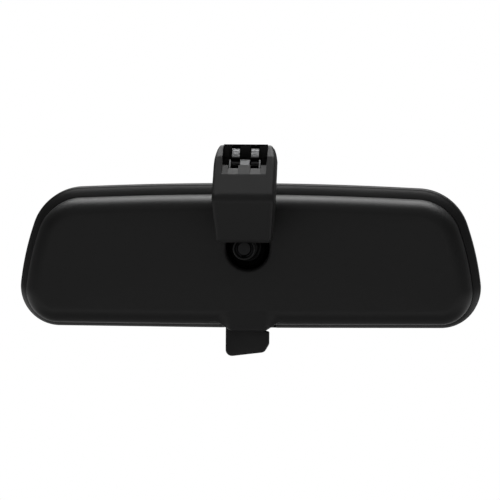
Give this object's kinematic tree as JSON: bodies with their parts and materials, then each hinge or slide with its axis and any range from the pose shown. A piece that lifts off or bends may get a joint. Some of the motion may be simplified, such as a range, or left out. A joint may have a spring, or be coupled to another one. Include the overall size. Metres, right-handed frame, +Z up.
{
  "type": "interior rearview mirror",
  "caption": "Clip-on interior rearview mirror: wedge glass in a trapezoid case with a thin bezel, on a ball joint and a short windscreen arm, with a day/night dip lever under the case.",
  "frame": {"origin": "middle of the arm's sloping windscreen face", "axes": "+X across the car, +Y towards the driver (the way the glass faces), +Z up"},
  "size_m": [0.2452, 0.0604, 0.1139],
  "materials": {
    "grained_plastic": "fine moulded grain, black",
    "satin_plastic": "satin, black",
    "inner_plastic": "plain moulded, black",
    "spring_steel": "bright rolled strip",
    "plated_steel": "zinc plated",
    "blackened_steel": "turned steel, black phosphate",
    "nylon": "black, greased",
    "mirror_glass": "polished, silvered on the back",
    "backing_film": "splinter film",
    "foam": "open-cell foam strip",
    "rubber": "matt"
  },
  "bodies": {
    "arm": {"arm_body": "grained_plastic", "arm_back_cover": "satin_plastic", "clip_carrier": "inner_plastic", "spring_clip": "spring_steel", "clip_screw_left": "plated_steel", "clip_screw_right": "plated_steel"},
    "stud": {"ball_stud": "blackened_steel", "stud_washer": "blackened_steel", "stud_circlip": "blackened_steel"},
    "liner": {"socket_liner": "nylon"},
    "bracket": {"toggle_bracket": "inner_plastic", "clamp_plate": "plated_steel", "clamp_screw_1": "plated_steel", "clamp_screw_2": "plated_steel", "clamp_screw_3": "plated_steel"},
    "case": {"rear_shell": "grained_plastic", "bezel": "satin_plastic", "prism_glass": "mirror_glass", "backing_film": "backing_film", "foam_strip_left": "foam", "foam_strip_right": "foam", "stop_buffer_left": "rubber", "stop_buffer_right": "rubber", "dip_hinge_pin": "plated_steel", "lever_pin": "plated_steel", "detent_spring": "spring_steel", "detent_screw": "plated_steel"},
    "lever": {"dip_lever": "satin_plastic"}
  },
  "joints": [
    {"name": "mirror_roll", "type": "hinge", "parent": "arm", "child": "stud", "pos_m": [0, 0.03712, -0.03512], "axis": [0, -0.9986, 0.0523], "range_deg": [-10, 10]},
    {"name": "mirror_swing", "type": "hinge", "parent": "stud", "child": "liner", "pos_m": [0, 0.03712, -0.03512], "axis": [0, 0, 1], "range_deg": [-20, 20]},
    {"name": "mirror_nod", "type": "hinge", "parent": "liner", "child": "bracket", "pos_m": [0, 0.03712, -0.03512], "axis": [1, 0, 0], "range_deg": [-15, 15]},
    {"name": "night_dip", "type": "hinge", "parent": "bracket", "child": "case", "pos_m": [0, 0.03861, -0.01312], "axis": [1, 0, 0], "range_deg": [0, 4.4]},
    {"name": "lever_flip", "type": "hinge", "parent": "case", "child": "lever", "pos_m": [0, 0.03861, -0.06962], "axis": [1, 0, 0], "range_deg": [0, 40]}
  ],
  "couplings": [
    {"joint": "lever_flip", "follows": "night_dip", "ratio": 9.0909}
  ]
}
